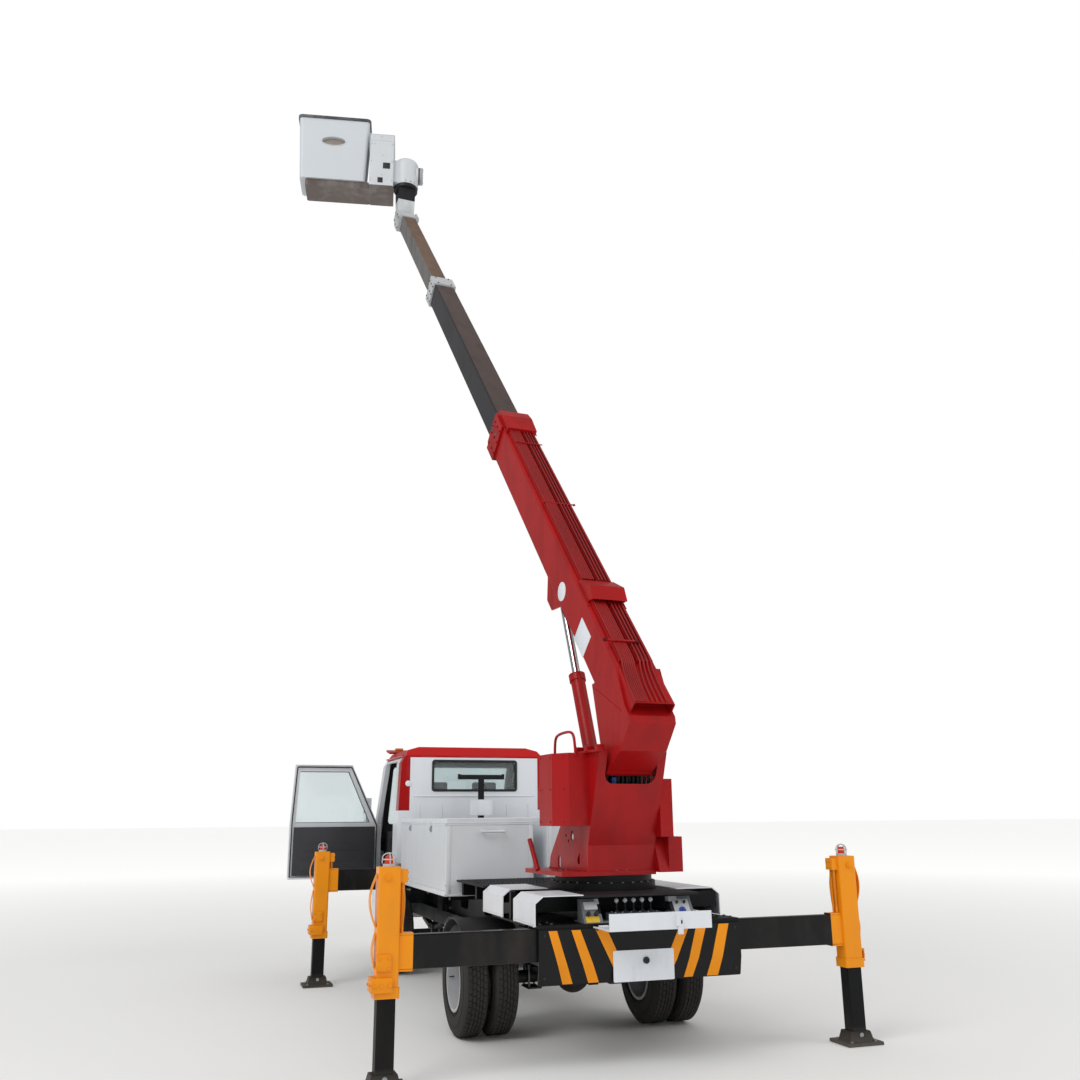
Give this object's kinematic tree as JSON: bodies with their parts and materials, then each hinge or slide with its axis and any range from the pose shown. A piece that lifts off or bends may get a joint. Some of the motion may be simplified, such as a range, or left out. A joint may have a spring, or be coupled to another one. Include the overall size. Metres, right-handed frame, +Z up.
{
  "type": "cherry picker truck",
  "caption": "Narrow cherry picker truck with its telescopic boom raised, outriggers down, tool lockers behind the cab, open rear controls and a levelled work bucket.",
  "frame": {"origin": "on the ground under the middle of the whole outline, wheels and outrigger feet on z = 0", "axes": "+X to the truck's right, +Y forward towards the cab, +Z up"},
  "size_m": [3.8993, 8.3478, 12.0998],
  "materials": {
    "white_paint": "gloss white paint",
    "red_paint": "gloss red paint",
    "orange_paint": "yellow-orange paint",
    "black_paint": "satin black paint",
    "charcoal_paint": "dark grey paint",
    "bronze_paint": "bronze-brown paint",
    "grey_paint": "light grey paint",
    "rim_paint": "silver paint",
    "rod_chrome": "polished rod",
    "cast_metal": "plain casting",
    "tyre_rubber": "road tyre",
    "bucket_shell": "white moulded shell",
    "cab_trim": "dark cab trim",
    "black_plastic": "black moulding",
    "window_glass": "clear glass",
    "lamp_glass": "clear lamp cover"
  },
  "bodies": {
    "chassis": {"axles": "black_paint", "boom_rest": "black_paint", "bumper": "white_paint", "cab_glass": "window_glass", "cab_interior": "cab_trim", "cab_roof": "red_paint", "cab_shell": "white_paint", "chassis_frame": "black_paint", "control_console": "grey_paint", "deck": "grey_paint", "deck_covers": "white_paint", "engine": "cast_metal", "fuel_tank": "black_paint", "grille": "black_plastic", "headlamps": "lamp_glass", "lockers": "white_paint", "mudguards": "black_plastic", "outrigger_housings": "black_paint", "rear_panel": "black_paint", "subframe": "black_paint"},
    "door_left": {"door_left": "white_paint", "door_pane_left": "window_glass"},
    "door_right": {"door_right": "white_paint", "door_pane_right": "window_glass"},
    "locker_lid_left": {"locker_lid_left": "white_paint"},
    "locker_lid_right": {"locker_lid_right": "white_paint"},
    "control_flap": {"control_flap": "white_paint"},
    "knuckle_left": {"knuckle_left": "cast_metal"},
    "knuckle_right": {"knuckle_right": "cast_metal"},
    "wheel_front_left": {"tyre_front_left": "tyre_rubber", "rim_front_left": "rim_paint"},
    "wheel_front_right": {"tyre_front_right": "tyre_rubber", "rim_front_right": "rim_paint"},
    "wheels_rear_left": {"tyres_rear_left": "tyre_rubber", "rims_rear_left": "rim_paint"},
    "wheels_rear_right": {"tyres_rear_right": "tyre_rubber", "rims_rear_right": "rim_paint"},
    "turret": {"slew_drive": "black_paint", "turret_frame": "red_paint"},
    "base_boom": {"base_boom": "red_paint"},
    "lift_barrel": {"lift_barrel": "red_paint"},
    "lift_rod": {"lift_rod": "rod_chrome"},
    "mid_boom": {"mid_boom": "charcoal_paint", "mid_collar": "grey_paint"},
    "tip_boom": {"tip_boom": "bronze_paint", "boom_head": "grey_paint"},
    "level_knuckle": {"level_knuckle": "black_paint"},
    "bucket": {"bucket_carrier": "white_paint", "bucket": "bucket_shell"},
    "outrigger_arm_front_left": {"outrigger_arm_front_left": "orange_paint"},
    "outrigger_leg_front_left": {"outrigger_leg_front_left": "black_paint"},
    "outrigger_arm_front_right": {"outrigger_arm_front_right": "orange_paint"},
    "outrigger_leg_front_right": {"outrigger_leg_front_right": "black_paint"},
    "outrigger_arm_rear_left": {"outrigger_arm_rear_left": "orange_paint"},
    "outrigger_leg_rear_left": {"outrigger_leg_rear_left": "black_paint"},
    "outrigger_arm_rear_right": {"outrigger_arm_rear_right": "orange_paint"},
    "outrigger_leg_rear_right": {"outrigger_leg_rear_right": "black_paint"}
  },
  "joints": [
    {"name": "door_left_hinge", "type": "hinge", "parent": "chassis", "child": "door_left", "pos_m": [-0.708, 1.6775, 1.2], "axis": [0, 0, 1], "range_deg": [0, 86]},
    {"name": "door_right_hinge", "type": "hinge", "parent": "chassis", "child": "door_right", "pos_m": [0.968, 1.6775, 1.2], "axis": [0, 0, 1], "range_deg": [0, 86]},
    {"name": "locker_lid_left_hinge", "type": "hinge", "parent": "chassis", "child": "locker_lid_left", "pos_m": [0.077, -0.79, 1.5], "axis": [0, 1, 0], "range_deg": [0, 50]},
    {"name": "locker_lid_right_hinge", "type": "hinge", "parent": "chassis", "child": "locker_lid_right", "pos_m": [0.183, -0.79, 1.5], "axis": [0, -1, 0], "range_deg": [0, 50]},
    {"name": "control_flap_hinge", "type": "hinge", "parent": "chassis", "child": "control_flap", "pos_m": [0.13, -3.87, 0.858], "axis": [-1, 0, 0], "range_deg": [0, 95]},
    {"name": "steer_left", "type": "hinge", "parent": "chassis", "child": "knuckle_left", "pos_m": [-0.47, 0.845, 0.385], "axis": [0, 0, 1], "range_deg": [-32, 32]},
    {"name": "wheel_front_left_spin", "type": "hinge", "parent": "knuckle_left", "child": "wheel_front_left", "pos_m": [-0.575, 0.845, 0.385], "axis": [1, 0, 0], "continuous": true},
    {"name": "wheels_rear_left_spin", "type": "hinge", "parent": "chassis", "child": "wheels_rear_left", "pos_m": [-0.6075, -2.505, 0.385], "axis": [1, 0, 0], "continuous": true},
    {"name": "steer_right", "type": "hinge", "parent": "chassis", "child": "knuckle_right", "pos_m": [0.73, 0.845, 0.385], "axis": [0, 0, 1], "range_deg": [-32, 32]},
    {"name": "wheel_front_right_spin", "type": "hinge", "parent": "knuckle_right", "child": "wheel_front_right", "pos_m": [0.835, 0.845, 0.385], "axis": [1, 0, 0], "continuous": true},
    {"name": "wheels_rear_right_spin", "type": "hinge", "parent": "chassis", "child": "wheels_rear_right", "pos_m": [0.8675, -2.505, 0.385], "axis": [1, 0, 0], "continuous": true},
    {"name": "outrigger_rear_left_reach", "type": "slide", "parent": "chassis", "child": "outrigger_arm_rear_left", "axis": [-1, 0, 0], "range_m": [-0.78, 0]},
    {"name": "outrigger_rear_left_leg", "type": "slide", "parent": "outrigger_arm_rear_left", "child": "outrigger_leg_rear_left", "axis": [0, 0, 1], "range_m": [0, 0.34]},
    {"name": "outrigger_rear_right_reach", "type": "slide", "parent": "chassis", "child": "outrigger_arm_rear_right", "axis": [1, 0, 0], "range_m": [-0.78, 0]},
    {"name": "outrigger_rear_right_leg", "type": "slide", "parent": "outrigger_arm_rear_right", "child": "outrigger_leg_rear_right", "axis": [0, 0, 1], "range_m": [0, 0.34]},
    {"name": "outrigger_front_left_reach", "type": "slide", "parent": "chassis", "child": "outrigger_arm_front_left", "axis": [-1, 0, 0], "range_m": [-0.6, 0]},
    {"name": "outrigger_front_left_leg", "type": "slide", "parent": "outrigger_arm_front_left", "child": "outrigger_leg_front_left", "axis": [0, 0, 1], "range_m": [0, 0.34]},
    {"name": "outrigger_front_right_reach", "type": "slide", "parent": "chassis", "child": "outrigger_arm_front_right", "axis": [1, 0, 0], "range_m": [-0.6, 0]},
    {"name": "outrigger_front_right_leg", "type": "slide", "parent": "outrigger_arm_front_right", "child": "outrigger_leg_front_right", "axis": [0, 0, 1], "range_m": [0, 0.34]},
    {"name": "turret_slew", "type": "hinge", "parent": "chassis", "child": "turret", "pos_m": [0.13, -3.185, 1.1], "axis": [0, 0, 1], "continuous": true},
    {"name": "boom_luff", "type": "hinge", "parent": "turret", "child": "base_boom", "pos_m": [0.15564, -3.60422, 1.9], "axis": [0.9981, 0.061, 0], "range_deg": [-43.4, 30]},
    {"name": "lift_barrel_pivot", "type": "hinge", "parent": "turret", "child": "lift_barrel", "pos_m": [0.13672, -3.29479, 1.32], "axis": [0.9981, 0.061, 0], "range_deg": [-36, 25]},
    {"name": "lift_rod_slide", "type": "slide", "parent": "lift_barrel", "child": "lift_rod", "axis": [-0.0222, 0.3637, 0.9313], "range_m": [-0.41, 0.29]},
    {"name": "boom_mid_slide", "type": "slide", "parent": "base_boom", "child": "mid_boom", "axis": [-0.0405, 0.6627, 0.7478], "range_m": [-3.45, 0]},
    {"name": "boom_tip_slide", "type": "slide", "parent": "mid_boom", "child": "tip_boom", "axis": [-0.0405, 0.6627, 0.7478], "range_m": [-2.7, 0]},
    {"name": "bucket_level", "type": "hinge", "parent": "tip_boom", "child": "level_knuckle", "pos_m": [-0.27552, 3.44522, 10.51282], "axis": [0.9981, 0.061, 0], "range_deg": [-30.5, 44]},
    {"name": "bucket_swing", "type": "hinge", "parent": "level_knuckle", "child": "bucket", "pos_m": [-0.27552, 3.44522, 11.03282], "axis": [0, 0, 1], "range_deg": [-90, 90]}
  ],
  "couplings": [
    {"joint": "steer_right", "follows": "steer_left", "ratio": 1},
    {"joint": "lift_barrel_pivot", "follows": "boom_luff", "ratio": 0.82},
    {"joint": "lift_rod_slide", "follows": "boom_luff", "m_per_rad": 0.525},
    {"joint": "bucket_level", "follows": "boom_luff", "ratio": -1}
  ]
}
